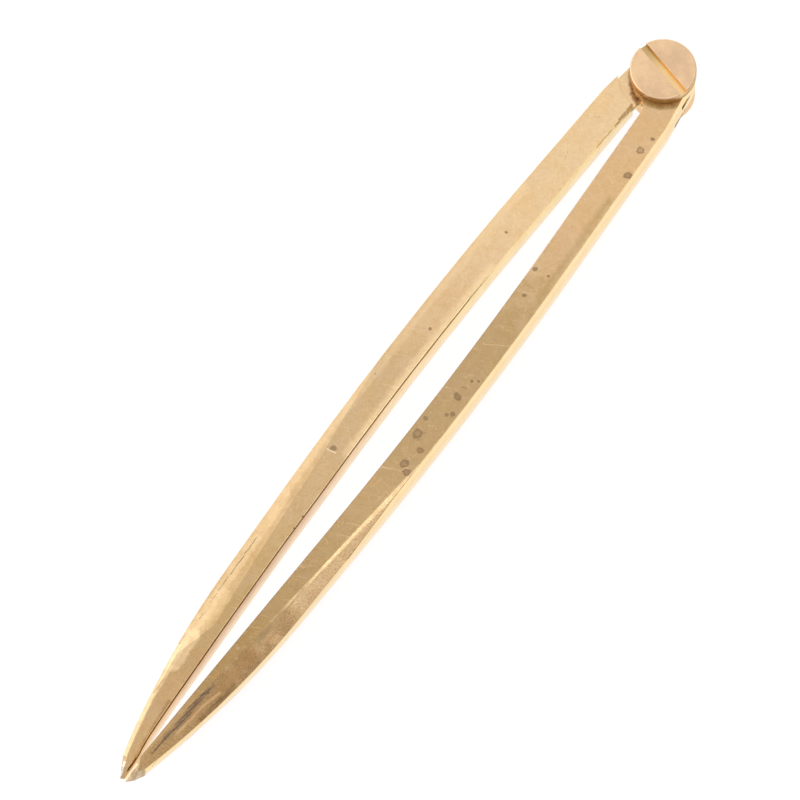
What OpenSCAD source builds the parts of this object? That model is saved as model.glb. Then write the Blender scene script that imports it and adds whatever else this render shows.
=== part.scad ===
// Chart divider: two bowed brass legs on a fork and tongue hinge, a slotted
// pivot screw and the round nut under it.
// Millimetres, +Z up along the hinge towards the screw head, tips along -Y.
// Origin: on the hinge axis, at the flat underside of the nut.
// Shown closed, with the tips a hair apart.

/* [Legs] */
// hinge axis to the tips
reach = 155; // [140:0.2:175]
// width of a leg
leg_w = 5.45; // [4.8:0.05:6.4]
// thickness of a leg
leg_t = 4.5; // [3.8:0.1:5.6]
// sideways step from the hinge axis to a leg's centre line
leg_step = 3.4; // [3.2:0.05:4]
// outward lean of the upper half of a leg, in degrees
upper_lean = 2.32; // [1.6:0.02:3]
// distance from the hinge at which the upper and lower lines cross
bend_at = 67.4; // [60:0.2:75]
// radius of the bow that joins the two lines
bow_r = 820; // [500:10:950]
// space between the two legs at the tips when closed
tip_gap = 0.5; // [0.5:0.05:1]
// distance from the hinge at which the outer edge starts to taper
taper_from = 114; // [108:0.5:120]
// width of a leg where its ground point starts
point_w = 1.8; // [1.4:0.05:2.6]

/* [Ground faces] */
// width of the chamfer on the outer upper edge
chamfer_w = 0.45; // [0.2:0.05:0.8]
// height of that chamfer
chamfer_h = 0.9; // [0.4:0.05:1.1]
// distance from the hinge at which the wide bevel starts
bevel_from = 78; // [70:0.5:90]
// slope of the wide bevel, in degrees
bevel_slope = 27; // [18:1:32]
// distance from the hinge at which the shallow bevel on the other face starts
shallow_from = 60; // [55:0.5:75]
// slope of the shallow bevel, in degrees
shallow_slope = 6; // [3:0.5:9]
// distance from the hinge at which that face thins towards the tip
thin_from = 124; // [116:0.5:132]
// slope of that thinning, in degrees
thin_slope = 2.2; // [1:0.1:3]
// distance from the hinge at which the strip along the thinned outer edge starts
strip_from = 131; // [126:0.5:140]
// width of that strip
strip_w = 0.7; // [0.3:0.05:0.9]
// height of that strip
strip_h = 0.4; // [0.2:0.05:0.7]
// length of the ground point
point_len = 4; // [3:0.1:5.5]
// how far the point leans in from the inner edge of its leg
point_in = 0.2; // [0:0.02:0.22]
// slope of the point's two facets to either side of its ridge, in degrees
point_roll = 25; // [10:1:35]
// flat left at the very tip
tip_flat = 0.15; // [0.1:0.01:0.25]

/* [Hinge] */
// radius of the round end of a leg
eye_r = 5.3; // [4.8:0.05:5.4]
// thickness of the fork's upper cheek
cheek_t = 1.35; // [1.2:0.05:1.6]
// thickness of the tongue between the cheeks
tongue_t = 1.2; // [0.9:0.05:1.5]
// radius of the round shoulders above and below the tongue
shoulder_r = 7.5; // [7:0.05:8.4]
// how far the fork is slotted past the root of the tongue
fork_past = 0.35; // [0.2:0.05:1]
// radius of the fillet between the inner edge and the round end
fillet_r = 3.5; // [2.5:0.1:4]
// air left in the fork by the tongue
fork_gap = 0.06; // [0.03:0.01:0.12]
// radial play of the screw in the legs and in the nut
play = 0.05; // [0.02:0.01:0.1]

/* [Pivot screw] */
// diameter of the head
head_d = 11; // [10:0.1:12]
// thickness of the head
head_t = 1.8; // [1.3:0.05:2.2]
// chamfer on the head's upper rim
head_chamfer = 0.15; // [0.05:0.05:0.4]
// width of the driver slot
slot_w = 1.26; // [0.8:0.02:1.6]
// depth of the driver slot
slot_d = 0.8; // [0.5:0.05:1]
// turn of the slot from square across the legs, in degrees
slot_turn = -17.6; // [-90:0.2:90]
// diameter of the shank
shank_d = 4; // [3:0.1:5]
// air under the head
head_gap = 0.04; // [0.02:0.01:0.1]

/* [Pivot nut] */
// diameter of the nut
nut_d = 10.6; // [9.6:0.1:12]
// thickness of the nut
nut_t = 3.3; // [2.6:0.1:4.5]
// metal left under the blind hole
nut_floor = 0.8; // [0.5:0.05:1.2]
// chamfer on the nut's lower rim
nut_chamfer = 0.25; // [0.1:0.05:0.5]

/* [Hidden] */
// how far cutters run past what they cut, and the reach of the big ones
past = 1;
far = 200;
// overlap of neighbouring chamfer cuts
mitre = 0.2;
// the crossing of the two lines, and the lean of the lower one
half_w = leg_w / 2;
bend = [leg_step + bend_at * tan(upper_lean), -bend_at];
tip = [tip_gap / 2 + half_w, -reach];
lower_lean = atan((bend[0] - tip[0]) / (bend[1] - tip[1]));
// unit vectors down each line, and out of each line
up_dir = [sin(upper_lean), -cos(upper_lean)];
up_out = [cos(upper_lean), sin(upper_lean)];
low_dir = [-sin(lower_lean), -cos(lower_lean)];
low_out = [cos(lower_lean), -sin(lower_lean)];
// the bow: its ends and its centre
bow_run = bow_r * tan((upper_lean + lower_lean) / 2);
bow_top = bend - bow_run * up_dir;
bow_low = bend + bow_run * low_dir;
bow_mid = bow_top - bow_r * up_out;
bow_steps = 8;
function bow_turn(i) = upper_lean - (upper_lean + lower_lean) * i / bow_steps;
function bow_point(i, off) = bow_mid + (bow_r + off) * [cos(bow_turn(i)), sin(bow_turn(i))];
// the lower line, measured from the end of the bow, and the taper along it
low_len = (tip[1] - bow_low[1]) / low_dir[1];
taper_at = (-taper_from - bow_low[1]) / low_dir[1];
taper_run = low_len - point_len - taper_at;
taper_drop = leg_w - point_w;
taper_r = (taper_run * taper_run + taper_drop * taper_drop) / (2 * taper_drop);
taper_steps = 14;
strip_step = 1 + round(taper_steps * (strip_from - taper_from) / taper_run);
function taper_edge(d) = half_w - taper_r + sqrt(taper_r * taper_r - d * d);
function taper_point(i) = bow_low + (taper_at + taper_run * i / taper_steps) * low_dir
    + taper_edge(taper_run * i / taper_steps) * low_out;
point_top = bow_low + (low_len - point_len) * low_dir - half_w * low_out;
tip_in = bow_low + low_len * low_dir - (half_w + point_in) * low_out;
tip_out = tip_in + tip_flat * low_out;
// the neck: the fillet's centre, the end of the fillet, and the line that grazes the round end
inner_off = -(bow_top - half_w * up_out) * up_out;
web_q = inner_off + fillet_r;
web_w = sqrt((eye_r + fillet_r) * (eye_r + fillet_r) - web_q * web_q);
web_mid = web_w * up_dir - web_q * up_out;
web_on_edge = web_mid + fillet_r * up_out;
neck_out = web_on_edge + leg_w * up_out;
neck_turn = atan2(neck_out[1], neck_out[0]) + acos(eye_r / norm(neck_out));
neck_on_eye = eye_r * [cos(neck_turn), sin(neck_turn)];
// where the two necks cross when the legs are closed, and the end of the fork's slot
web_meet = -web_mid[1] - sqrt(fillet_r * fillet_r - web_mid[0] * web_mid[0]);
fork_r = web_meet + fork_past;
// heights
legs_z = nut_t;
mid_z = leg_t / 2;
fork_z = leg_t - cheek_t - tongue_t - fork_gap;
tongue_z = cheek_t + fork_gap / 2;
head_z = legs_z + leg_t + head_gap;
bore_r = shank_d / 2 + play;
point_drop = atan((mid_z - tip_flat / 2) / point_len);
// the outer edge's lower line, where the bevels leave it
function outer_edge(u) = bend[0] + half_w - (u - bend_at) * tan(lower_lean);
round_fn = 96;
// the outer edge from the round end to the start of the taper, and both edges to the tip
outer_line = concat([neck_on_eye, neck_out], [for (i = [0 : bow_steps]) bow_point(i, half_w)], [taper_point(0)]);
outline = concat([[0, 0]], outer_line,
    [for (i = [1 : taper_steps]) taper_point(i)], [tip_out, tip_in, point_top],
    [for (i = [bow_steps : -1 : 0]) bow_point(i, -half_w)], [web_on_edge, web_mid]);

module leg_blank() {
    cylinder(r = eye_r, h = leg_t, $fn = round_fn);
    linear_extrude(leg_t) difference() {
        polygon(outline);
        translate(web_mid) circle(r = fillet_r, $fn = round_fn);
    }
}

// everything above a plane that leaves the upper face along a line and falls outwards
module bevel_cutter(from, slope)
    translate([outer_edge(from), -from, leg_t])
        rotate([0, 0, -atan((outer_edge(from) - tip_in[0]) / (reach - from))])
            rotate([0, slope, 0])
                translate([0, -far, 0]) cube([far, 2 * far, far]);

// everything above a plane that falls to the point, on one side of the point's ridge
module point_cutter(roll)
    translate([bow_low[0], bow_low[1], 0]) rotate([0, 0, -lower_lean])
        translate([point_w / 2 - half_w, point_len - low_len, leg_t])
            rotate([point_drop, 0, 0]) rotate([0, roll, 0])
                translate([-far / 2, -far, 0]) cube([far, 2 * far, far]);

// moves what is drawn on the upper face on to the plane that thins towards the tip
module thinned()
    translate([0, -thin_from, leg_t]) rotate([thin_slope, 0, 0]) translate([0, thin_from, -leg_t]) children();

module thin_cutter()
    thinned() translate([-far / 2, -thin_from - far, leg_t]) cube([far, far, far]);

// chamfer along one stretch of the outer upper edge
module chamfer_cutter(from, to, wide, high) {
    run = norm(to - from);
    translate([from[0], from[1], leg_t])
        rotate([0, 0, atan2(to[0] - from[0], from[1] - to[1])])
            translate([0, mitre, 0]) rotate([90, 0, 0]) linear_extrude(run + 2 * mitre)
                polygon([[-wide, 0], [0, -high], [past, -high], [past, past], [-wide, past]]);
}

module over() translate([0, 0, leg_t]) mirror([0, 0, 1]) children();

// the outline with the hole for the screw
module bored_leg()
    difference() {
        leg_blank();
        translate([0, 0, -past])
            cylinder(r = bore_r, h = leg_t + 2 * past, $fn = round_fn);
    }

// the fork: a slot for the tongue, between two cheeks
module forked_leg()
    difference() {
        bored_leg();
        translate([0, 0, fork_z])
            cylinder(r = fork_r, h = tongue_t + fork_gap, $fn = round_fn);
    }

// the tongue: both faces cut away inside their round shoulders
module tongued_leg()
    difference() {
        bored_leg();
        translate([0, 0, -past])
            cylinder(r = shoulder_r, h = tongue_z + past, $fn = round_fn);
        translate([0, 0, tongue_z + tongue_t])
            cylinder(r = shoulder_r, h = leg_t, $fn = round_fn);
    }

module bevelled_leg()
    difference() {
        children();
        bevel_cutter(bevel_from, bevel_slope);
        over() bevel_cutter(shallow_from, shallow_slope);
    }

module thinned_leg()
    difference() {
        bevelled_leg() children();
        over() thin_cutter();
    }

module pointed_leg()
    difference() {
        thinned_leg() children();
        point_cutter(point_roll);
        point_cutter(-point_roll);
        over() point_cutter(point_roll);
        over() point_cutter(-point_roll);
    }

// one ground leg with its wide bevel up; the other leg is ground alike and turned over
module leg()
    difference() {
        pointed_leg() children();
        for (i = [1 : len(outer_line) - 1])
            chamfer_cutter(outer_line[i - 1], outer_line[i], chamfer_w, chamfer_h);
        for (i = [strip_step : taper_steps])
            over() thinned() chamfer_cutter(taper_point(i - 1), taper_point(i), strip_w, strip_h);
    }

module front_leg()
    color([0.87, 0.73, 0.52]) translate([0, 0, legs_z]) leg() forked_leg();

module rear_leg()
    color([0.91, 0.78, 0.6])
        translate([0, 0, legs_z + leg_t]) rotate([0, 180, 0]) leg() tongued_leg();

module pivot_screw()
    color([0.92, 0.75, 0.58])
        difference() {
            union() {
                translate([0, 0, head_z]) rotate_extrude($fn = round_fn)
                    polygon([[0, 0], [head_d / 2, 0], [head_d / 2, head_t - head_chamfer],
                        [head_d / 2 - head_chamfer, head_t], [0, head_t]]);
                translate([0, 0, nut_floor + play])
                    cylinder(d = shank_d, h = head_z - nut_floor, $fn = round_fn);
            }
            translate([0, 0, head_z + head_t - slot_d]) rotate([0, 0, slot_turn])
                translate([-head_d, -slot_w / 2, 0]) cube([2 * head_d, slot_w, slot_d + past]);
        }

module pivot_nut()
    color([0.93, 0.74, 0.55])
        difference() {
            rotate_extrude($fn = round_fn)
                polygon([[0, 0], [nut_d / 2 - nut_chamfer, 0], [nut_d / 2, nut_chamfer],
                    [nut_d / 2, nut_t], [0, nut_t]]);
            translate([0, 0, nut_floor])
                cylinder(r = bore_r, h = nut_t, $fn = round_fn);
        }

front_leg();
rear_leg();
pivot_screw();
pivot_nut();
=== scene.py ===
# %% [markdown]
# # A brass chart divider
# This lesson dresses a finished solid model of a chart divider: two bowed brass legs, the slotted screw
# that they turn on, and the round nut below. The solids already have their sizes and places. What is left
# for Blender is what makes brass look real: softened edges, brushed and tarnished surfaces, and a studio
# for the metal to mirror. The solids are loaded first. They are in metres, with the hinge along Z and the
# tips along minus Y.

# %% Load the solid model
import bmesh
import bpy
from functools import partial
from math import cos, pi, radians, sin
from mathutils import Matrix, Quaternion, Vector


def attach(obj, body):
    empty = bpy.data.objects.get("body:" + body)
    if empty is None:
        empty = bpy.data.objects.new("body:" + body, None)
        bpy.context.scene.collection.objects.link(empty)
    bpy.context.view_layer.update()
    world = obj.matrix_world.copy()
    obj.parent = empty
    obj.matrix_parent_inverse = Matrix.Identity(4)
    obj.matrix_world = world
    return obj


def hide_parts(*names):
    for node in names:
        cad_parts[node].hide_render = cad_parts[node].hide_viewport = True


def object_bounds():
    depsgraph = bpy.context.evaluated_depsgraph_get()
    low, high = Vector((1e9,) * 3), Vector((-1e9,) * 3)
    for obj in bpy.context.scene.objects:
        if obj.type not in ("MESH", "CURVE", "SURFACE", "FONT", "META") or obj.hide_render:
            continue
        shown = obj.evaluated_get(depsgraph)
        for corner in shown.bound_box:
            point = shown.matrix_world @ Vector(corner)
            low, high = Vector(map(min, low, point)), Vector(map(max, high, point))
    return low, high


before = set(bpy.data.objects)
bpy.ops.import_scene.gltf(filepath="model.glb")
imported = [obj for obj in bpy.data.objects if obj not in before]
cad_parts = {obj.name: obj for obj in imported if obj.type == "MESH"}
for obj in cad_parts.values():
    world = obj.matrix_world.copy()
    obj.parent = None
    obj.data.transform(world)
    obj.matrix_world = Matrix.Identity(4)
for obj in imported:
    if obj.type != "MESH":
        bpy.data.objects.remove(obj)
solid_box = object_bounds()


def brief(box):
    return [tuple(round(value, 4) for value in corner) for corner in box]


print("solids:", sorted(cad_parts), "box:", brief(solid_box))

# %% [markdown]
# ## The camera
# A catalogue picture of a small tool is taken from far away with a long lens, so that its lines stay
# parallel. An orthographic camera could do the same, but a very long lens also frames the tool well when it
# is looked at from other sides. The camera stands 65 degrees above the table, and the directions right and
# away on the table are turned so that the legs run from the upper right to the lower left of the picture.

# %% Place the camera
MM = 0.001
RIGHT = Vector((0.8207, 0.5713, 0.0))
AWAY = Vector((-0.5713, 0.8207, 0.0))
UP = Vector((0.0, 0.0, 1.0))
camera_rise = radians(65.0)
camera_roll = radians(0.08)
to_camera = UP * sin(camera_rise) - AWAY * cos(camera_rise)
leg_top = 7.8
aim = Vector((-1.574, -73.306, leg_top)) * MM
lens = 1650.0
sensor_width = 36.0
frame_width = 130.93 * MM

bpy.ops.object.select_all(action="DESELECT")
bpy.ops.object.camera_add(location=aim + to_camera * (lens * frame_width / sensor_width))
camera = bpy.context.object
camera.data.lens = lens
camera.data.sensor_width = sensor_width
camera.data.clip_start = 0.1
camera.data.clip_end = 50.0
facing = to_camera.to_track_quat("Z", "Y") @ Quaternion((0.0, 0.0, 1.0), camera_roll)
camera.rotation_euler = facing.to_euler()
bpy.context.scene.camera = camera
bpy.context.scene.view_settings.view_transform = "Standard"
print("camera is", round((camera.location - aim).length, 2), "m away")

# %% [markdown]
# ## Softened edges
# No edge of a hand-finished brass tool is a knife edge: filing and handling round it by a tenth of a
# millimetre, and that narrow round is what catches the light. A bevel modifier on the solid would be quick,
# but its mesh is loose triangles, which a bevel can't follow. So each piece is copied, its triangles are
# merged into whole faces, and the edges that stand out are picked by a rule and bevelled in edit mode, pass
# by pass. A pass names the material slot of its new faces, or keeps that of the faces beside them. Before
# the bevels, a leg can be cut by a plane, as a file would, and be pushed into a fuller shape. It is then
# cut across first, so that its long walls bend in flat pieces. Smooth shading would melt the shallow creases
# between nearly level faces, so these are marked as sharp.

# %% Helpers that cut a copy and round its edges
KEEP = -1
cut_margin = 0.001 * MM
shortest_edge = 0.2 * MM
shallow_crease = radians(4.0)
steep_crease = radians(9.0)
crease_level = 0.98


def turn(edge):
    return edge.calc_face_angle_signed()


def middle(edge):
    return (edge.verts[0].co + edge.verts[1].co) / 2.0


def cut_by_plane(place, normal, **options):
    bpy.ops.mesh.select_all(action="SELECT")
    bpy.ops.mesh.bisect(plane_co=place, plane_no=normal, threshold=cut_margin, **options)


def round_edges(piece, width, segments, slot, rule):
    bpy.ops.mesh.select_all(action="DESELECT")
    work = bmesh.from_edit_mesh(piece.data)
    whole = [edge for edge in work.edges if edge.is_manifold and edge.calc_length() > shortest_edge]
    picked = [edge for edge in whole if rule(edge)]
    for edge in picked:
        edge.select_set(True)
    bmesh.update_edit_mesh(piece.data)
    bpy.ops.mesh.bevel(offset=width, segments=segments, profile=0.5, affect="EDGES", clamp_overlap=False,
                       material=slot)
    print(piece.name, "edges rounded:", len(picked), "by", round(width / MM, 2), "mm")


def keep_creases(piece):
    work = bmesh.new()
    work.from_mesh(piece.data)
    for edge in work.edges:
        level = all(abs(face.normal.z) > crease_level for face in edge.link_faces)
        if level and edge.is_manifold and shallow_crease < edge.calc_face_angle() < steep_crease:
            edge.smooth = False
    work.to_mesh(piece.data)
    work.free()


# %% A helper that copies a solid and finishes the copy
slot_count = 5
merge_gap = 0.06 * MM
same_plane = radians(0.2)
smooth_below = radians(20.0)

# Where a leg that is reshaped is cut across first, in millimetres from the hinge
cross_cuts = (92.0, 96.0, 100.0, 104.0, 108.0, 116.0, 132.0, 138.0, 142.0, 146.0, 148.2, 149.4)


def rounded_copy(node, name, passes, filed_plane=None, reshape=None):
    piece = bpy.data.objects.new(name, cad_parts[node].data.copy())
    bpy.context.scene.collection.objects.link(piece)
    piece.data.materials.clear()
    for _ in range(slot_count):
        piece.data.materials.append(None)
    bpy.ops.object.select_all(action="DESELECT")
    piece.select_set(True)
    bpy.context.view_layer.objects.active = piece
    bpy.ops.mesh.customdata_custom_splitnormals_clear()
    bpy.ops.object.mode_set(mode="EDIT")
    bpy.ops.mesh.select_mode(type="EDGE")
    bpy.ops.mesh.select_all(action="SELECT")
    bpy.ops.mesh.remove_doubles(threshold=merge_gap)
    bpy.ops.mesh.dissolve_limited(angle_limit=same_plane)
    if filed_plane:
        cut_by_plane(*filed_plane, clear_outer=True, use_fill=True)
    if reshape:
        for reach in cross_cuts:
            cut_by_plane((0.0, -reach * MM, 0.0), (0.0, 1.0, 0.0))
        work = bmesh.from_edit_mesh(piece.data)
        reshape(work)
        work.normal_update()
        bmesh.update_edit_mesh(piece.data)
    for one_pass in passes:
        round_edges(piece, *one_pass)
    bpy.ops.object.mode_set(mode="OBJECT")
    bpy.ops.object.shade_smooth_by_angle(angle=smooth_below)
    keep_creases(piece)
    bpy.ops.object.modifier_add(type="WEIGHTED_NORMAL")
    piece.modifiers[-1].keep_sharp = True
    bpy.ops.object.modifier_apply(modifier=piece.modifiers[-1].name)
    print(name, "faces:", len(piece.data.polygons))
    return piece


# %% [markdown]
# ## The legs
# Both legs are the same bar of brass, filed to a bow and ground to a point; one is turned over, and one
# carries the fork of the hinge and the other the tongue. Their faces are finished in different ways, so
# each kind of face gets its own material slot: the brushed flats, the broken edges, the coarsely ground
# bevel, the drawn side walls, and the bright cut faces of the chamfers and points. The kinds are told apart
# by how level a face lies and which way it looks, which holds for both legs. The left leg's inner upper
# edge is broken by a flat cut with a worn lip above it. The cut is darkened towards the tip, partly by dirt
# and partly as a painted dark reflection. The right leg has a hair of such a cut at the foot of its ground
# bevel. All the other edges are only softened.

# %% Rules that pick the edges of a leg
FLAT, EDGE, GROUND, WALL, CUT = range(slot_count)
hinge_ends = -8.6 * MM
rubbed_until = -55.0 * MM
ground_starts = -78.0 * MM
foot_ends = ground_starts - 26.0 * MM
point_starts = -150.4 * MM
inner_edge_ends = point_starts - 2.0 * MM
upper_half = 6.0 * MM
foot_height = 6.95 * MM
hinge_bore = 2.5 * MM
level_face = 0.95
outward = 0.3
nearly_inward = 0.2


def beside_broken_edge(edge):
    return any(face.material_index == EDGE for face in edge.link_faces)


def inner_top_edge(side, edge):
    low, high = sorted(vert.co.y for vert in edge.verts)
    along_bar = high < hinge_ends and low > inner_edge_ends
    by_flat = any(abs(face.normal.z) > level_face for face in edge.link_faces)
    by_inner_wall = min(abs(face.normal.x + side) for face in edge.link_faces) < nearly_inward
    square = turn(edge) > radians(60.0)
    return along_bar and by_flat and by_inner_wall and square and middle(edge).z > upper_half


def inner_edge_far(side, edge):
    return inner_top_edge(side, edge) and middle(edge).y < rubbed_until


def worn_lip(edge):
    by_flat = any(face.normal.z > level_face for face in edge.link_faces)
    blunt = radians(30.0) < turn(edge) < radians(60.0)
    return blunt and by_flat and beside_broken_edge(edge) and middle(edge).y < rubbed_until


def ground_foot(side, edge):
    blunt = radians(20.0) < turn(edge) < radians(50.0)
    outside = all(face.normal.x * side > outward for face in edge.link_faces)
    along_foot = foot_ends < middle(edge).y < ground_starts
    return blunt and outside and along_foot and middle(edge).z > foot_height


def other_edges(edge):
    sharp = turn(edge) > radians(50.0)
    before_point = all(vert.co.y > point_starts for vert in edge.verts)
    off_bore = middle(edge).to_2d().length > hinge_bore
    return sharp and before_point and off_bore and not beside_broken_edge(edge)


# %% Sort the faces of a leg into its slots
RIGHT_LEG = 1.0
LEFT_LEG = -1.0
wall_below = 0.3
cut_below = 0.6
bevel_low = 0.82
bevel_high = 0.985
bevel_outward = 0.15


def kind_of_face(face, side):
    level = abs(face.normal.z)
    if level < wall_below:
        return WALL
    if level < cut_below:
        return CUT
    if face.center.y < point_starts:
        return CUT if side == RIGHT_LEG else FLAT
    on_ground_side = face.normal.z * side > 0.0 and face.normal.x * side > bevel_outward
    if on_ground_side and bevel_low < level < bevel_high and face.center.y < ground_starts:
        return GROUND
    return FLAT


def sort_faces(piece, side):
    counts = [0] * slot_count
    for face in piece.data.polygons:
        if face.material_index != EDGE:
            face.material_index = kind_of_face(face, side)
        counts[face.material_index] += 1
    print(piece.name, "flat, edge, ground, wall and cut faces:", counts)


# %% [markdown]
# ## Signs of the file
# A file has left a narrow facet along the ridge where the wide bevel starts. It could be a bevel of that
# edge, but a file takes off more in the middle than at the ends, so the leg is cut by one slightly tilted
# plane. The left leg was filed a little fuller on its outer side, hollower inside before the tip, and
# fuller inside at the point. Its points are pushed sideways by a few tenths of a millimetre, with a soft
# start and end, because sculpting such a small change would leave the flats uneven.

# %% Round the legs
ridge_starts = Vector((7.75, -80.5, leg_top)) * MM
ridge_slant = 0.103
ridge_tilt = radians(12.0)
ridge_face = Vector((1.0, -ridge_slant, 0.0)).normalized() * sin(ridge_tilt) + UP * cos(ridge_tilt)
leg_middle = 5.55 * MM

# Each swell has its size, where it rises, where it falls, and the share of it that falls away
outer_swell = (0.33, (8.0, 30.0), (146.0, 154.0), 0.7)
inner_hollow = (0.2, (92.0, 108.0), (138.0, 152.0), 1.0)
point_swell = (0.34, (146.5, 150.4), (151.0, 154.3), 0.55)


def turned_over(point, height):
    return Vector((-point.x, point.y, 2.0 * height - point.z))


def ease(value, low, high):
    share = min(max((value - low) / (high - low), 0.0), 1.0)
    return share * share * (3.0 - 2.0 * share)


def swell(reach, size, rise, fall, loss):
    return size * ease(reach, *rise) * (1.0 - loss * ease(reach, *fall))


def fuller_leg(side, work):
    outer = {vert for face in work.faces if face.normal.x * side > outward for vert in face.verts}
    for vert in work.verts:
        reach = -vert.co.y / MM
        if vert in outer:
            push = swell(reach, *outer_swell)
        else:
            push = swell(reach, *inner_hollow) - swell(reach, *point_swell)
        vert.co.x += side * push * MM
    print("outer points moved out:", len(outer))


# A pass is its width, its segments, the slot of its new faces, and its rule. The faces of the worn lip are
# taken out of the slot of the broken edge, so that they are sorted with the flats.
front_passes = [
    (0.1 * MM, 1, KEEP, partial(inner_top_edge, RIGHT_LEG)),
    (0.05 * MM, 1, EDGE, partial(ground_foot, RIGHT_LEG)),
    (0.07 * MM, 2, KEEP, other_edges)]
rear_passes = [
    (0.22 * MM, 1, EDGE, partial(inner_edge_far, LEFT_LEG)),
    (0.08 * MM, 3, FLAT, worn_lip),
    (0.07 * MM, 2, KEEP, other_edges)]
front_plane = (ridge_starts, ridge_face)
rear_plane = (turned_over(ridge_starts, leg_middle), turned_over(ridge_face, 0.0))
front_leg = rounded_copy("front_leg", "front_leg_brass", front_passes, front_plane)
sort_faces(front_leg, RIGHT_LEG)
rear_leg = rounded_copy("rear_leg", "rear_leg_brass", rear_passes, rear_plane, partial(fuller_leg, LEFT_LEG))
sort_faces(rear_leg, LEFT_LEG)
for piece, node, body in ((front_leg, "front_leg", "front_half"), (rear_leg, "rear_leg", "rear_half")):
    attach(piece, body)
    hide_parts(node)

# %% [markdown]
# ## The pivot screw and its nut
# The screw is turned on a lathe and its slot is sawn, so its rim is crisp and only a hair of an edge is
# broken. The lips of the slot are worn by the screwdriver, so they get a slightly wider cut than the rim.
# The shank's rims could be rounded too, but they are left out, because nobody sees them.

# %% Round the screw head and the nut
SLOT = 2
head_top = solid_box[1][2]
lip_margin = 0.02 * MM
shortest_lip = 8.0 * MM
above_legs = 7.9 * MM
head_inside = 5.0 * MM
nut_inside = 4.0 * MM
slot_deep = 0.85 * MM
slot_shallow = 0.1 * MM
rim_turn = radians(30.0)


def slot_lip(edge):
    return edge.calc_length() > shortest_lip and min(vert.co.z for vert in edge.verts) > head_top - lip_margin


def head_rim(edge):
    on_head = all(vert.co.z > above_legs for vert in edge.verts)
    return on_head and turn(edge) > rim_turn and middle(edge).to_2d().length > head_inside


def nut_rim(edge):
    return turn(edge) > rim_turn and middle(edge).to_2d().length > nut_inside


screw_passes = [(0.06 * MM, 2, EDGE, slot_lip), (0.05 * MM, 2, EDGE, head_rim)]
pivot_screw = rounded_copy("pivot_screw", "pivot_screw_brass", screw_passes)
for face in pivot_screw.data.polygons:
    in_slot = head_top - slot_deep < face.center.z < head_top - slot_shallow
    if face.material_index == FLAT and in_slot and face.center.to_2d().length < head_inside:
        face.material_index = SLOT
pivot_nut = rounded_copy("pivot_nut", "pivot_nut_brass", [(0.1 * MM, 2, EDGE, nut_rim)])
for piece, node, body in ((pivot_screw, "pivot_screw", "screw"), (pivot_nut, "pivot_nut", "rear_half")):
    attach(piece, body)
    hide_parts(node)

# %% [markdown]
# ## Shader helpers
# Node trees are wiring, and wiring reads best when one line makes one node with everything plugged in. The
# first helper makes a node, sets its options, and fills its sockets with either a value or a link. The
# others are short names for the nodes that are used most.

# %% Helpers that add nodes to a tree
VECTOR = "NodeSocketVector"
FLOAT = "NodeSocketFloat"


def step(tree, kind, sockets=None, **options):
    made = tree.nodes.new(kind)
    for name, value in options.items():
        setattr(made, name, value)
    for key, value in (sockets or {}).items():
        if isinstance(value, bpy.types.NodeSocket):
            tree.links.new(value, made.inputs[key])
        else:
            made.inputs[key].default_value = value
    return made.outputs


def times(tree, a, b):
    return step(tree, "ShaderNodeMath", {0: a, 1: b}, operation="MULTIPLY")[0]


def plus(tree, a, b):
    return step(tree, "ShaderNodeMath", {0: a, 1: b}, operation="ADD")[0]


def larger(tree, a, b):
    return step(tree, "ShaderNodeMath", {0: a, 1: b}, operation="MAXIMUM")[0]


def vector_step(tree, operation, a, b):
    return step(tree, "ShaderNodeVectorMath", {0: a, 1: b}, operation=operation)


def spread(tree, value, low, high):
    return step(tree, "ShaderNodeMapRange", {0: value, 1: low, 2: high}, interpolation_type="SMOOTHSTEP")[0]


def mixed(tree, amount, first, second, blend="MIX"):
    sockets = {0: amount, 6: first, 7: second}
    return step(tree, "ShaderNodeMix", sockets, data_type="RGBA", blend_type=blend)[2]


def new_group(name, inputs, output):
    group = bpy.data.node_groups.new(name, "ShaderNodeTree")
    for label, kind in inputs:
        group.interface.new_socket(name=label, in_out="INPUT", socket_type=kind)
    group.interface.new_socket(name=output, in_out="OUTPUT", socket_type=FLOAT)
    start = group.nodes.new("NodeGroupInput")
    end = group.nodes.new("NodeGroupOutput")
    print("shader group:", name)
    return group, start.outputs, end.inputs[0]


def placed(tree, group, sockets):
    return step(tree, "ShaderNodeGroup", sockets, node_tree=group)[0]


# %% [markdown]
# ## Marks that brass collects
# Four kinds of marks cover all the pieces, so each is a shader group with its own inputs. Brushed grain is
# a noise that is squeezed across and stretched along one direction. Cloudy patches are a soft noise. A
# tarnish spot is a ragged disc around a point, darker at its rim than inside. A long mark is the distance
# to a short line: thin for a scratch, broad and soft for a stain. Image textures could hold all this, but
# these groups stay sharp at any size and need no unwrapping.

# %% Brushed grain and cloudy patches
brushed_grain, a, out = new_group(
    "brushed_grain", [("Position", VECTOR), ("Turn", FLOAT), ("Across", FLOAT), ("Along", FLOAT)], "Streaks")
t = brushed_grain
turn_values = {"Vector": a["Position"], "Angle": a["Turn"]}
turned = step(t, "ShaderNodeVectorRotate", turn_values, rotation_type="Z_AXIS")[0]
squeeze = step(t, "ShaderNodeCombineXYZ", {0: a["Across"], 1: a["Along"], 2: a["Across"]})[0]
scaled = vector_step(t, "MULTIPLY", turned, squeeze)[0]
streaks = step(t, "ShaderNodeTexNoise", {"Vector": scaled, "Scale": 1.0, "Detail": 2.0, "Roughness": 0.55})[0]
t.links.new(streaks, out)

cloudy_patches, a, out = new_group("cloudy_patches", [("Position", VECTOR), ("Scale", FLOAT)], "Patches")
t = cloudy_patches
cloud_values = {"Vector": a["Position"], "Scale": a["Scale"], "Detail": 3.0, "Roughness": 0.6}
cloud = step(t, "ShaderNodeTexNoise", cloud_values)[0]
t.links.new(spread(t, cloud, 0.35, 0.65), out)

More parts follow.
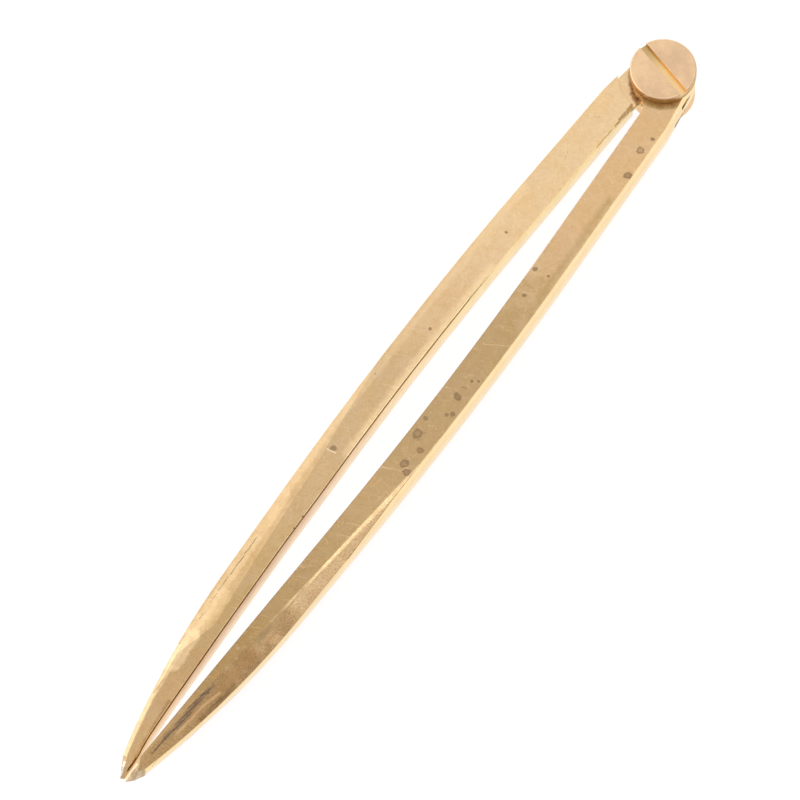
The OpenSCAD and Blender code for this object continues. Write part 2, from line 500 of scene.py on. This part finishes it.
# %% Tarnish spots
tarnish_spot, a, out = new_group(
    "tarnish_spot", [("Position", VECTOR), ("Centre", VECTOR), ("Radius", FLOAT), ("Hollow", FLOAT)], "Mask")
t = tarnish_spot
away_from = vector_step(t, "DISTANCE", a["Position"], a["Centre"])["Value"]
rough_values = {"Vector": a["Position"], "Scale": 800.0, "Detail": 4.0, "Roughness": 0.65}
rough = step(t, "ShaderNodeTexNoise", rough_values)[0]
ragged = times(t, away_from, times(t, rough, 2.0))
rim = spread(t, ragged, times(t, a["Radius"], 1.12), times(t, a["Radius"], 0.72))
core = spread(t, ragged, times(t, a["Radius"], 0.75), times(t, a["Radius"], 0.3))
t.links.new(plus(t, rim, times(t, times(t, core, a["Hollow"]), -1.0)), out)

# %% Long marks
long_mark, a, out = new_group(
    "long_mark", [("Position", VECTOR), ("Start", VECTOR), ("End", VECTOR), ("Width", FLOAT), ("Core", FLOAT),
                  ("Wander", FLOAT), ("Ragged", FLOAT)], "Mask")
t = long_mark
run = vector_step(t, "SUBTRACT", a["End"], a["Start"])[0]
offset = vector_step(t, "SUBTRACT", a["Position"], a["Start"])[0]
reach_times_run = vector_step(t, "DOT_PRODUCT", offset, run)["Value"]
run_squared = vector_step(t, "DOT_PRODUCT", run, run)["Value"]
share = step(t, "ShaderNodeMath", {0: reach_times_run, 1: run_squared}, operation="DIVIDE", use_clamp=True)[0]
foot = step(t, "ShaderNodeVectorMath", {0: run, "Scale": share}, operation="SCALE")[0]
gap = vector_step(t, "DISTANCE", offset, foot)["Value"]
wobble = step(t, "ShaderNodeTexNoise", {"Vector": a["Position"], "Scale": a["Ragged"], "Detail": 2.0})[0]
gap = plus(t, gap, times(t, plus(t, wobble, -0.5), a["Wander"]))
t.links.new(spread(t, gap, a["Width"], a["Core"]), out)

# %% [markdown]
# ## Brass along a leg
# Brass tarnishes where hands don't rub it, so a leg is paler near the hinge and browner towards its tip,
# with cloudy patches, brushed lines along the leg and a few hair scratches across it. A side wall mirrors
# the white table, and this is painted into its colour as well: a wall is mixed towards a paler colour at
# its foot, a painted reflection. One flat colour would look like plastic. Here a colour ramp
# runs along the leg, the marks tint it, spots make it rougher, and spots and thin marks sink into it a
# little as bump. The same function makes the material of each kind of face, with other values. A mark is
# given as seen from above. A ray that is dropped on the leg finds its height, and heights count only a
# quarter, so that a mark follows a sloping face but doesn't show on the underside.

# %% What all brass has
brass_glance = (1.0, 0.86, 0.62, 1.0)
bump_depth = 0.012 * MM


def new_brass(name):
    material = bpy.data.materials.new(name)
    material.use_nodes = True
    tree = material.node_tree
    shader = tree.nodes["Principled BSDF"]
    shader.inputs["Metallic"].default_value = 1.0
    shader.inputs["Specular Tint"].default_value = brass_glance
    position = step(tree, "ShaderNodeTexCoord")["Object"]
    return material, tree, shader, position


def clouds(tree, position, scale):
    return placed(tree, cloudy_patches, {"Position": position, "Scale": scale})


def tinted(tree, colour, mask, amount, tint, blend="MULTIPLY"):
    return mixed(tree, times(tree, mask, amount), colour, (*tint, 1.0), blend)


def finish_brass(tree, shader, colour, worn, height):
    bump = step(tree, "ShaderNodeBump", {"Height": height, "Distance": bump_depth, "Strength": 1.0})
    tree.links.new(colour, shader.inputs["Base Color"])
    tree.links.new(worn, shader.inputs["Roughness"])
    tree.links.new(bump[0], shader.inputs["Normal"])


# %% How marks are put on a leg
ray_start = 20.0
flat_view = (1.0, 1.0, 0.25)
thin_below = 0.3
thin_ragged = 2500.0
broad_ragged = 1200.0


def mark_place(point, leg):
    x, y, z = (*point, leg_top)[:3]
    if len(point) == 2:
        hit, place, _, _ = leg.ray_cast(Vector((x, y, ray_start)) * MM, -UP)
        z = place.z / MM if hit else leg_top
    return [value * share * MM for value, share in zip((x, y, z), flat_view)]


def together(tree, mask, added):
    return added if mask == 0.0 else larger(tree, mask, added)


def spot_mask(tree, position, leg, spots):
    mask = 0.0
    for centre, radius, hollow in spots:
        values = {"Centre": mark_place(centre, leg), "Radius": radius * MM, "Hollow": hollow}
        mask = together(tree, mask, placed(tree, tarnish_spot, {"Position": position, **values}))
    return mask


def mark_mask(tree, position, leg, path, width, core):
    wander = 1.5 * min(width - core, 0.6) * MM
    ragged = thin_ragged if width < thin_below else broad_ragged
    values = {"Width": width * MM, "Core": core * MM, "Wander": wander, "Ragged": ragged}
    mask = 0.0
    for first, second in zip(path, path[1:]):
        ends = {"Start": mark_place(first, leg), "End": mark_place(second, leg)}
        mask = together(tree, mask, placed(tree, long_mark, {"Position": position, **ends, **values}))
    return mask


def colour_ramp(tree, value, stops):
    ramp = tree.nodes.new("ShaderNodeValToRGB")
    tree.links.new(value, ramp.inputs[0])
    while len(ramp.color_ramp.elements) < len(stops):
        ramp.color_ramp.elements.new(0.5)
    for stop, (place, colour) in zip(ramp.color_ramp.elements, stops):
        stop.position = place
        stop.color = (*colour, 1.0)
    return ramp.outputs[0]


# %% A function that makes leg brass
leg_reach = 155.0 * MM
ramp_wander = 0.05
wall_heights = (7.6 * MM, 3.2 * MM)
dulled_from = (0.68, 0.8)
along_leg = {"Turn": 0.0, "Across": 5200.0, "Along": 160.0}
across_leg = {"Turn": radians(68.0), "Across": 2600.0, "Along": 120.0}
curls = {"Scale": 420.0, "Detail": 2.0, "Distortion": 1.6}
patch_scale = 260.0
warm_scale = 130.0
mottle_scale = 900.0
warm_tint = (1.0, 0.97, 0.82)
patch_tint = (0.80, 0.74, 0.72)
mottle_tint = (0.88, 0.81, 0.76)
streak_tint = (0.80, 0.75, 0.68)
grit_tint = (0.62, 0.56, 0.5)
hair_brass = (0.90, 0.68, 0.42)
swirl_brass = (0.95, 0.74, 0.48)
spot_brown = (0.24, 0.155, 0.085)


def leg_brass(name, leg, ramp_stops, roughness, grain, dirt, spots=(), marks=(), speckle=0.0, dulled=0.0,
              painted_foot_reflection=None, grit=2400.0):
    material, tree, shader, position = new_brass(name)
    flattened = vector_step(tree, "MULTIPLY", position, flat_view)[0]
    place = step(tree, "ShaderNodeSeparateXYZ", {0: position})
    share = step(tree, "ShaderNodeMapRange", {0: place["Y"], 1: 0.0, 2: -leg_reach})[0]
    patches = clouds(tree, position, patch_scale)
    share = plus(tree, share, plus(tree, times(tree, patches, ramp_wander), -ramp_wander / 2.0))
    colour = colour_ramp(tree, share, ramp_stops)
    # A wall's colour is mixed towards a paler one at its foot: a painted reflection of the white table.
    if painted_foot_reflection:
        colour = mixed(tree, spread(tree, place["Z"], *wall_heights), colour, (*painted_foot_reflection, 1.0))

    streaks = placed(tree, brushed_grain, {"Position": position, **along_leg})
    hairs = spread(tree, placed(tree, brushed_grain, {"Position": position, **across_leg}), 0.64, 0.76)
    fine = clouds(tree, position, grit)
    curl = step(tree, "ShaderNodeTexNoise", {"Vector": position, **curls})[0]
    curl = step(tree, "ShaderNodeMath", {0: plus(tree, curl, -0.5)}, operation="ABSOLUTE")[0]
    swirls = times(tree, spread(tree, curl, 0.02, 0.004), patches)
    warm = clouds(tree, position, warm_scale)
    mottle = clouds(tree, position, mottle_scale)
    colour = tinted(tree, colour, warm, 0.6 * dirt, warm_tint)
    colour = tinted(tree, colour, patches, 0.35 * dirt, patch_tint)
    colour = tinted(tree, colour, mottle, 0.3 * dirt, mottle_tint)
    colour = tinted(tree, colour, streaks, 0.30 * dirt, streak_tint)
    colour = tinted(tree, colour, hairs, 0.3 * dirt, hair_brass, "MIX")
    colour = tinted(tree, colour, swirls, 0.22 * dirt, swirl_brass, "MIX")
    colour = tinted(tree, colour, fine, 0.13 * dirt + 0.6 * speckle, grit_tint)

    spotted = spot_mask(tree, flattened, leg, spots)
    colour = tinted(tree, colour, spotted, 0.8, spot_brown, "MIX")
    scratched = 0.0
    uneven = plus(tree, plus(tree, times(tree, streaks, 1.1), times(tree, mottle, 0.45)), 0.2)
    for path, width, core, tint, amount in marks:
        thin = width < thin_below
        mark = mark_mask(tree, flattened, leg, path, width, core)
        colour = tinted(tree, colour, mark if thin else times(tree, mark, uneven), amount, tint, "MIX")
        if thin:
            scratched = together(tree, scratched, mark)

    worn = plus(tree, times(tree, patches, 0.08), times(tree, streaks, 0.10))
    worn = plus(tree, plus(tree, worn, times(tree, spotted, 0.22)), roughness - 0.08)
    worn = plus(tree, worn, times(tree, spread(tree, share, *dulled_from), dulled))
    height = plus(tree, times(tree, streaks, grain), times(tree, fine, grain * (0.4 + 2.0 * speckle)))
    height = plus(tree, height, times(tree, patches, 6.0 * grain))
    height = plus(tree, height, times(tree, plus(tree, spotted, times(tree, scratched, 3.0)), -0.5))
    finish_brass(tree, shader, colour, worn, height)
    print("material:", name, "with", len(spots), "spots and", len(marks), "marks")
    return material


# %% [markdown]
# ## Spots, nicks and scratches
# The places of the marks are read off the real legs, as millimetres from the hinge. The right leg has a
# trail of round tarnish spots, an olive band along its outer side, and towards its tip a grey and orange
# stain with thin grey strokes in it. It also carries painted light and shade: a painted shadow and
# reflection of the head in a ring around it, painted highlights along the ridge of the bevel, the start of
# the bevel painted in the tone of the flat as painted shade, and a painted shadow line at the foot of its
# wall by the hinge. The left leg has a small nick with a painted highlight on its edge, a hair groove near
# its outer edge that breaks off and starts again, a pale band along both sides of its flat that is partly
# rubbed and partly painted highlight, painted shade in the recess and the crotch of the hinge, and at its
# tip a painted highlight and a painted dark line along the inner edge. They could be painted on a picture.
# As lists they stay easy to move: a spot is its place, radius and hollow, and a mark is its path, its width,
# the width of its core, its colour and its strength.

# %% Where the marks of the right leg are
# A dark brown used both for real dirt and for painted shade
DIRT_AND_SHADE = (0.20, 0.10, 0.035)
GREY_STAIN = (0.22, 0.15, 0.105)
RUST = (0.50, 0.27, 0.11)
OLIVE = (0.42, 0.29, 0.12)
PALE = (1.0, 0.80, 0.52)
BRIGHT = (1.0, 0.74, 0.43)
flat_tone = (0.47, 0.32, 0.16)
orange_brown = (0.33, 0.19, 0.08)
# A brown for painted shade in the crotch and along the inner edge
shade_brown = (0.30, 0.16, 0.05)
scratch_grey = (0.16, 0.105, 0.07)

front_spots = [((x, y), radius, hollow) for x, y, radius, hollow in (
    (4.86, -13.58, 0.72, 0.35), (5.8, -18.53, 0.62, 0.2), (5.46, -10.74, 0.35, 0.0), (3.0, -41.21, 0.5, 0.0),
    (5.58, -41.02, 0.32, 0.0), (4.27, -46.12, 0.4, 0.0), (6.16, -63.79, 0.28, 0.0), (7.06, -63.16, 0.25, 0.0),
    (5.87, -67.44, 0.62, 0.25), (3.73, -73.6, 0.4, 0.2), (4.21, -76.63, 0.95, 0.45),
    (6.29, -78.88, 0.72, 0.3), (5.54, -82.32, 0.78, 0.3), (6.83, -83.45, 0.66, 0.3), (6.9, -70.4, 0.5, 0.1),
    (6.2, -71.2, 0.45, 0.2))]
tip_strokes = [([(x1, y1), (x2, y2)], 0.11, 0.03, scratch_grey, 0.6) for x1, y1, x2, y2 in (
    (2.0, -135.7, 2.95, -134.2), (2.2, -135.6, 2.75, -133.6), (2.9, -133.0, 2.75, -134.6),
    (2.45, -134.8, 2.2, -137.2), (2.75, -135.4, 2.3, -137.9), (2.1, -136.4, 1.85, -138.6),
    (2.6, -136.9, 2.15, -139.6), (2.3, -138.2, 1.95, -140.8), (2.65, -138.6, 2.3, -141.2),
    (2.05, -139.8, 1.8, -142.3), (2.45, -140.4, 2.05, -143.2), (2.15, -142.2, 1.8, -144.8),
    (1.95, -144.0, 1.62, -147.8), (5.4, -131.6, 4.9, -134.6), (4.9, -133.4, 4.5, -136.2))]
tip_stains_and_glint = [
    ([(4.6, -124.5), (4.1, -133.0)], 1.5, 0.0, RUST, 0.5),
    ([(5.3, -130.5), (5.05, -134.4), (4.4, -138.5)], 0.75, 0.1, orange_brown, 0.7),
    ([(2.75, -132.8), (2.3, -137.5), (2.2, -141.9)], 0.7, 0.1, GREY_STAIN, 0.5),
    ([(2.25, -141.0), (1.8, -145.1)], 0.5, 0.05, GREY_STAIN, 0.55),
    ([(1.8, -145.0), (1.6, -148.4)], 0.2, 0.05, GREY_STAIN, 0.7),
    # A painted orange highlight along the ridge, among the real stains
    ([(4.2, -133.0), (3.93, -134.2), (3.33, -136.9), (3.14, -139.5), (2.7, -143.0)],
     0.29, 0.05, (0.80, 0.52, 0.27), 0.6)]
# A painted highlight along the ridge of the bevel, where the filed facet catches the lamp
ridge_shine = [
    ([(7.3, -84.0), (6.6, -92.0), (5.8, -100.0), (5.3, -107.0), (5.15, -113.0)],
     0.35, 0.0, (1.0, 0.76, 0.45), 0.3)]
# A painted shadow and reflection of the screw head, in a ring around it on the right leg's flat
head_shade_ring = [
    ([(0.0, 0.0, leg_top), (0.0, -0.01, leg_top)], 6.75, 6.4, OLIVE, 0.8)]
front_scratches = [
    ([(5.9, -24.0), (6.75, -46.0)], 1.2, 0.0, OLIVE, 0.5),
    ([(3.8, -57.2), (7.65, -55.0)], 0.10, 0.0, PALE, 0.22),
    ([(3.6, -41.6), (6.0, -36.9)], 0.10, 0.04, DIRT_AND_SHADE, 0.35),
    ([(5.4, -65.6), (6.2, -65.3)], 0.10, 0.04, DIRT_AND_SHADE, 0.6)]
# The start of the bevel is painted in the tone of the flat: painted shade that dims the ridge's highlight
# there
bevel_start = [
    ([(5.05, -106.0), (4.5, -112.0), (4.35, -117.0), (3.9, -122.0)], 0.9, 0.35, flat_tone, 0.75)]
front_marks = head_shade_ring + front_scratches + ridge_shine + tip_stains_and_glint
ground_marks = bevel_start + ridge_shine + tip_stains_and_glint + tip_strokes
point_marks = [
    ([(0.4, -148.8), (0.6, -150.75)], 0.55, 0.42, (0.50, 0.33, 0.16), 0.9),
    ([(1.5, -151.2), (0.75, -154.2)], 0.7, 0.5, (0.36, 0.25, 0.15), 0.85)]
front_wall_marks = [
    # A painted shadow line along the foot of the wall, where the leg's bottom meets the nut
    ([(5.3, -1.2, 3.5), (5.6, -3.2, 3.5), (6.0, -5.2, 3.5)], 0.29, 0.16, DIRT_AND_SHADE, 0.9),
    ([(1.7, -151.5, 5.6), (0.7, -154.5, 5.6)], 0.8, 0.4, (0.40, 0.30, 0.22), 0.8)]
print("right leg:", len(front_spots), "spots and", len(front_marks + ground_marks), "marks")

# %% Where the marks of the left leg are
recess_floor = 6.4

rear_spots = [((x, y), radius, 0.0) for x, y, radius in (
    (-5.61, -86.65, 0.6), (-7.6, -71.76, 0.22), (-4.85, -59.95, 0.25), (-4.65, -38.46, 0.22),
    (-2.6, -99.6, 0.2), (-2.55, -102.2, 0.22))]
# Painted shade in the recess round the head, at the head's edge, and in the crotch of the hinge
hinge_shade = [
    ([(0.0, 0.0, recess_floor), (0.0, -0.01, recess_floor)], 6.0, 5.6, DIRT_AND_SHADE, 0.6),
    ([(-2.4, -5.45, recess_floor), (-1.0, -6.2, recess_floor), (0.3, -7.0, recess_floor)],
     0.62, 0.1, DIRT_AND_SHADE, 0.85),
    ([(-0.95, -7.6), (-1.1, -11.0)], 0.35, 0.1, shade_brown, 0.7)]
# Pale bands along both sides of the flat: partly rubbed wear, partly painted highlight where the facets and
# the strip at the tip catch the light
rubbed_and_highlit_bands = [
    ([(-2.9, -45.0), (-3.2, -55.0), (-3.3, -70.0), (-3.1, -86.0)], 1.3, 0.0, BRIGHT, 0.6),
    ([(-7.0, -30.0), (-7.8, -60.0), (-7.9, -85.0), (-7.4, -98.0)], 1.1, 0.2, BRIGHT, 0.3),
    ([(-7.2, -98.0), (-6.7, -108.0), (-6.0, -122.0), (-5.6, -127.0)], 1.3, 0.6, BRIGHT, 0.32),
    ([(-5.4, -118.5), (-5.3, -127.0)], 1.7, 0.9, BRIGHT, 0.25),
    ([(-5.15, -127.6), (-4.95, -133.2)], 1.7, 1.0, BRIGHT, 0.5),
    ([(-5.6, -128.5), (-4.4, -140.5), (-2.4, -150.4), (-1.6, -152.5)], 0.65, 0.4, BRIGHT, 0.55)]
nick_and_groove = [
    # The nick's pale line is a painted highlight on its edge
    ([(-6.31, -87.36), (-4.82, -87.2)], 0.13, 0.06, PALE, 0.7),
    ([(-6.66, -107.0), (-6.52, -109.4), (-6.6, -110.5)], 0.12, 0.03, GREY_STAIN, 0.8),
    ([(-6.42, -110.9), (-6.46, -113.2), (-6.34, -114.8)], 0.13, 0.05, GREY_STAIN, 0.85),
    ([(-6.44, -115.4), (-6.3, -117.6), (-6.36, -118.4)], 0.12, 0.03, GREY_STAIN, 0.75),
    ([(-6.24, -118.9), (-6.2, -120.9)], 0.11, 0.02, GREY_STAIN, 0.6),
    ([(-6.0, -123.2), (-5.95, -124.2)], 0.12, 0.05, GREY_STAIN, 0.6),
    ([(-4.53, -136.3), (-4.55, -139.2)], 0.15, 0.06, DIRT_AND_SHADE, 0.5)]
# At the tip: painted shade along the inner edge, a painted highlight, and a painted dark line where the edge
# mirrors a dark part of the room
rear_tip_marks = [
    ([(-1.6, -139.0), (-1.15, -144.0), (-0.65, -148.0), (-0.25, -151.0)], 0.5, 0.0, shade_brown, 0.5),
    ([(-1.38, -151.9), (-1.05, -152.9), (-0.75, -153.9)], 0.19, 0.08, (1.0, 0.97, 0.9), 0.9),
    ([(-0.25, -150.4), (-0.2, -152.5), (-0.2, -154.2)], 0.2, 0.1, (0.10, 0.05, 0.012), 0.95)]
hinge_strokes = [([(x1, y1), (x2, y2)], wide, 0.02, GREY_STAIN, amount) for x1, y1, x2, y2, wide, amount in (
    (-5.1, -13.5, -4.75, -13.1, 0.09, 0.6), (-4.3, -12.7, -3.9, -12.4, 0.09, 0.5),
    (-4.8, -12.9, -4.5, -12.8, 0.08, 0.5), (-4.8, -20.6, -4.45, -20.9, 0.1, 0.6),
    (-3.5, -22.3, -3.2, -21.9, 0.09, 0.5), (-4.6, -21.5, -4.3, -21.8, 0.09, 0.45))]
rear_marks = hinge_shade + rubbed_and_highlit_bands + nick_and_groove + rear_tip_marks + hinge_strokes
# Painted shade on the inner wall in the crotch of the hinge
rear_wall_marks = [
    ([(-0.9, -6.6), (-1.15, -12.0)], 0.45, 0.15, shade_brown, 0.85),
    ([(-1.2, -13.0), (-1.35, -17.0)], 0.28, 0.1, shade_brown, 0.6)]
print("left leg:", len(rear_spots), "spots and", len(rear_marks + rear_wall_marks), "marks")

# %% [markdown]
# ## The colours along the legs
# Each kind of face has its own colours from the hinge, at 0, to the tip, at 1. A picture of the leg could
# be wrapped round it, but a few stops on a ramp say the same and can be changed one by one.

# %% The materials of the two legs
front_ramp = [
    (0.0, (0.76, 0.515, 0.29)), (0.19, (0.75, 0.515, 0.295)), (0.26, (0.70, 0.485, 0.28)),
    (0.33, (0.545, 0.38, 0.195)), (0.52, (0.54, 0.38, 0.20)), (0.58, (0.58, 0.405, 0.222)),
    (0.65, (0.535, 0.37, 0.187)), (0.77, (0.495, 0.33, 0.162)), (0.84, (0.46, 0.30, 0.135)),
    (0.92, (0.56, 0.375, 0.178)), (1.0, (0.58, 0.395, 0.20))]
rear_ramp = [
    (0.0, (0.93, 0.68, 0.40)), (0.25, (0.90, 0.655, 0.39)), (0.38, (0.80, 0.565, 0.33)),
    (0.45, (0.71, 0.505, 0.29)), (0.60, (0.71, 0.50, 0.275)), (0.71, (0.655, 0.455, 0.247)),
    (0.78, (0.61, 0.425, 0.212)), (0.86, (0.615, 0.41, 0.205)), (0.91, (0.66, 0.45, 0.245)),
    (1.0, (0.67, 0.45, 0.23))]
# The broken edge darkens towards the tip, down to near black: partly dirt, partly a painted dark reflection
# on top of the one the cut really mirrors.
edge_ramp = [
    (0.33, (0.95, 0.66, 0.34)), (0.38, (0.88, 0.58, 0.27)), (0.45, (0.72, 0.45, 0.18)),
    (0.60, (0.62, 0.38, 0.15)), (0.78, (0.52, 0.28, 0.07)), (0.84, (0.36, 0.18, 0.035)),
    (0.89, (0.19, 0.09, 0.015)), (1.0, (0.14, 0.065, 0.012))]
# The walls get a paler brass than the flats: part of the brightness of the white table they mirror is painted
# into their colour.
rear_wall_ramp = [
    (0.0, (1.0, 0.86, 0.52)), (0.3, (1.0, 0.86, 0.55)), (0.45, (1.0, 0.80, 0.58)), (0.62, (0.74, 0.52, 0.48)),
    (0.78, (0.69, 0.46, 0.43)), (0.9, (0.78, 0.49, 0.37)), (1.0, (0.95, 0.63, 0.42))]
front_wall_ramp = [
    (0.0, (1.0, 0.79, 0.56)), (0.5, (1.0, 0.79, 0.54)), (0.75, (1.0, 0.79, 0.50)), (1.0, (1.0, 0.78, 0.43))]
ground_ramp = [
    (0.5, (0.90, 0.64, 0.38)), (0.65, (0.86, 0.61, 0.35)), (0.72, (0.89, 0.63, 0.365)),
    (0.78, (0.67, 0.46, 0.255)), (0.84, (0.565, 0.375, 0.19)), (0.91, (0.63, 0.425, 0.215)),
    (1.0, (0.70, 0.48, 0.25))]
cut_ramp = [(0.0, (1.0, 0.79, 0.47)), (0.9, (1.0, 0.77, 0.44)), (0.96, (0.84, 0.64, 0.42))]
# The paler colours at the foot of each wall, a painted reflection of the table
front_wall_foot = (1.0, 0.93, 0.84)
rear_wall_foot = (1.0, 0.89, 0.80)

bpy.context.view_layer.update()
front_flat = leg_brass("front_leg_flat", front_leg, front_ramp, roughness=0.28, grain=0.25, dirt=1.0,
                       spots=front_spots, marks=front_marks)
rear_flat = leg_brass("rear_leg_flat", rear_leg, rear_ramp, roughness=0.22, grain=0.25, dirt=1.0,
                      spots=rear_spots, marks=rear_marks)
leg_edge = leg_brass("leg_broken_edge", rear_leg, edge_ramp, roughness=0.22, grain=0.1, dirt=0.6)
leg_ground = leg_brass("leg_ground_bevel", front_leg, ground_ramp, roughness=0.26, grain=0.4, dirt=0.8,
                       marks=ground_marks, speckle=0.9, dulled=0.3, grit=4300.0)
front_wall = leg_brass("front_leg_wall", front_leg, front_wall_ramp, roughness=0.28, grain=0.12, dirt=0.25,
                       marks=front_wall_marks, painted_foot_reflection=front_wall_foot)
rear_wall = leg_brass("rear_leg_wall", rear_leg, rear_wall_ramp, roughness=0.28, grain=0.12, dirt=0.35,
                      marks=rear_wall_marks, painted_foot_reflection=rear_wall_foot)
leg_cut = leg_brass("leg_bright_cut", front_leg, cut_ramp, roughness=0.22, grain=0.08, dirt=0.3,
                    marks=point_marks)
for piece, flat, wall in ((front_leg, front_flat, front_wall), (rear_leg, rear_flat, rear_wall)):
    for number, material in enumerate((flat, leg_edge, leg_ground, wall, leg_cut)):
        piece.data.materials[number] = material
    print(piece.name, "slots:", [material.name for material in piece.data.materials])

# %% [markdown]
# ## Screw brass
# The screw is a redder brass with a satin, lathe-turned face: its fine lines run in circles around the
# axis. The circles come from the distance to the axis, fed to a one-dimensional noise. A wave texture could
# draw them too, but too evenly. A little cloudiness keeps the head from looking machine perfect, and the
# head gets darker towards where it sits on the leg. The sawn floor of the slot is yellower and darker at
# one end, so its two colours are mixed along the slot instead.

# %% A function that makes turned brass
slot_turn = radians(-17.6)
slot_run = (cos(slot_turn), sin(slot_turn), 0.0)
slot_change = (-5.0 * MM, 0.5 * MM)
seat_heights = (head_top - 0.5 * MM, head_top - 1.8 * MM)
seat_brown = (0.24, 0.12, 0.05)
rings_per_metre = 9000.0


def turned_brass(name, colour_low, colour_high, roughness, along_slot=False, seat_darkening=0.0):
    material, tree, shader, position = new_brass(name)
    flat = vector_step(tree, "MULTIPLY", position, (1.0, 1.0, 0.0))[0]
    radius = step(tree, "ShaderNodeVectorMath", {0: flat}, operation="LENGTH")["Value"]
    ring_values = {"W": times(tree, radius, rings_per_metre), "Scale": 1.0, "Detail": 2.0}
    rings = step(tree, "ShaderNodeTexNoise", ring_values, noise_dimensions="1D")[0]
    patches = clouds(tree, position, 190.0)
    fine = clouds(tree, position, 2600.0)
    change = patches
    if along_slot:
        change = spread(tree, vector_step(tree, "DOT_PRODUCT", position, slot_run)["Value"], *slot_change)
    colour = mixed(tree, change, (*colour_low, 1.0), (*colour_high, 1.0))
    colour = tinted(tree, colour, fine, 0.18, (0.74, 0.68, 0.62))
    height = step(tree, "ShaderNodeSeparateXYZ", {0: position})["Z"]
    # The head darkens towards where it sits on the leg
    colour = tinted(tree, colour, spread(tree, height, *seat_heights), seat_darkening, seat_brown, "MIX")
    worn = plus(tree, plus(tree, times(tree, patches, 0.06), times(tree, rings, 0.10)), roughness - 0.06)
    relief = plus(tree, times(tree, rings, 0.2), times(tree, fine, 0.15))
    finish_brass(tree, shader, colour, worn, relief)
    print("material:", name)
    return material


# %% The materials of the screw and the nut
screw_face = turned_brass("screw_satin_brass", (0.67, 0.455, 0.28), (0.79, 0.545, 0.325), roughness=0.34,
                          seat_darkening=0.45)
screw_edge = turned_brass("screw_worn_edge", (0.88, 0.62, 0.40), (0.94, 0.68, 0.44), roughness=0.24)
slot_floor = turned_brass("screw_slot_floor", (0.56, 0.38, 0.17), (0.86, 0.59, 0.29), roughness=0.26,
                          along_slot=True)
nut_face = turned_brass("nut_satin_brass", (0.86, 0.58, 0.36), (0.92, 0.64, 0.41), roughness=0.30)
for piece, face in ((pivot_screw, screw_face), (pivot_nut, nut_face)):
    for number, material in enumerate((face, screw_edge, slot_floor, face, face)):
        piece.data.materials[number] = material

# %% [markdown]
# ## The studio
# Polished metal shows little colour of its own: it shows the room. The room could be a picture of a real
# studio, but a few soft gradients say what each side does. It is nearly white all round, brighter behind on
# the left, and darker low on the right, and one soft lamp hangs above, a little to the right. The table is
# white to the camera and to reflections, which makes the side walls cream. A share of plain diffuse white
# in it keeps a soft shadow under the tool.

# %% The table
white = (1.0, 1.0, 1.0, 1.0)
plain_white = (0.8, 0.8, 0.8, 1.0)
shadow_white = (0.16, 0.16, 0.16, 1.0)
table_size = 6.0
table_drop = -0.05 * MM
table_glow = 0.9

bpy.ops.object.select_all(action="DESELECT")
bpy.ops.mesh.primitive_plane_add(size=table_size, location=(0.0, 0.0, table_drop))
table = bpy.context.object
table.name = "table"
table_white = bpy.data.materials.new("table_white")
table_white.use_nodes = True
tree = table_white.node_tree
tree.nodes.remove(tree.nodes["Principled BSDF"])
path = step(tree, "ShaderNodeLightPath")
seen = larger(tree, larger(tree, path["Is Camera Ray"], path["Is Glossy Ray"]), path["Is Transmission Ray"])
plain = step(tree, "ShaderNodeBsdfDiffuse", {"Color": plain_white})[0]
glow = step(tree, "ShaderNodeEmission", {"Color": white, "Strength": table_glow})[0]
shadowed = step(tree, "ShaderNodeBsdfDiffuse", {"Color": shadow_white})[0]
bright = step(tree, "ShaderNodeAddShader", {0: glow, 1: shadowed})[0]
surface = step(tree, "ShaderNodeMixShader", {0: seen, 1: plain, 2: bright})[0]
tree.links.new(surface, tree.nodes["Material Output"].inputs["Surface"])
table.data.materials.append(table_white)
print("table:", tuple(round(size, 2) for size in table.dimensions), "m")

# %% The room
room_level = 0.88
back_glow = 0.5
left_glow = 0.1
right_shade = -0.55

world = bpy.data.worlds.new("studio")
bpy.context.scene.world = world
world.use_nodes = True
tree = world.node_tree
toward = step(tree, "ShaderNodeTexCoord")["Generated"]
to_right = vector_step(tree, "DOT_PRODUCT", toward, tuple(RIGHT))["Value"]
to_back = vector_step(tree, "DOT_PRODUCT", toward, tuple(AWAY))["Value"]
rise = step(tree, "ShaderNodeSeparateXYZ", {0: toward})["Z"]
toward_back_left = plus(tree, times(tree, to_back, 0.6), times(tree, to_right, -0.8))
glow_back = times(tree, spread(tree, toward_back_left, 0.2, 0.5), back_glow)
glow_left = times(tree, spread(tree, to_right, -0.35, -0.6), left_glow)
low_right = times(tree, spread(tree, to_right, 0.4, 0.85), spread(tree, rise, 0.6, 0.3))
dark_right = times(tree, low_right, right_shade)
level = plus(tree, plus(tree, room_level, glow_back), plus(tree, glow_left, dark_right))
tree.nodes["Background"].inputs["Color"].default_value = white
tree.links.new(level, tree.nodes["Background"].inputs["Strength"])
print("room:", len(tree.nodes), "nodes")

# %% The lamp
lamp_toward = RIGHT * 0.35 + AWAY * 0.18 + UP * 0.92
lamp_distance = 0.7
lamp_width = 0.3
lamp_height = 0.4
lamp_brightness = 1.15

bpy.ops.object.select_all(action="DESELECT")
bpy.ops.object.light_add(type="AREA", location=aim + lamp_toward.normalized() * lamp_distance)
lamp = bpy.context.object
lamp.name = "top_right_softbox"
lamp.data.shape = "RECTANGLE"
lamp.data.size = lamp_width
lamp.data.size_y = lamp_height
lamp.data.energy = lamp_brightness * pi * lamp_width * lamp_height
lamp.rotation_euler = lamp_toward.to_track_quat("Z", "Y").to_euler()
print("lamp:", lamp.name, round(lamp.data.energy, 2), "W")
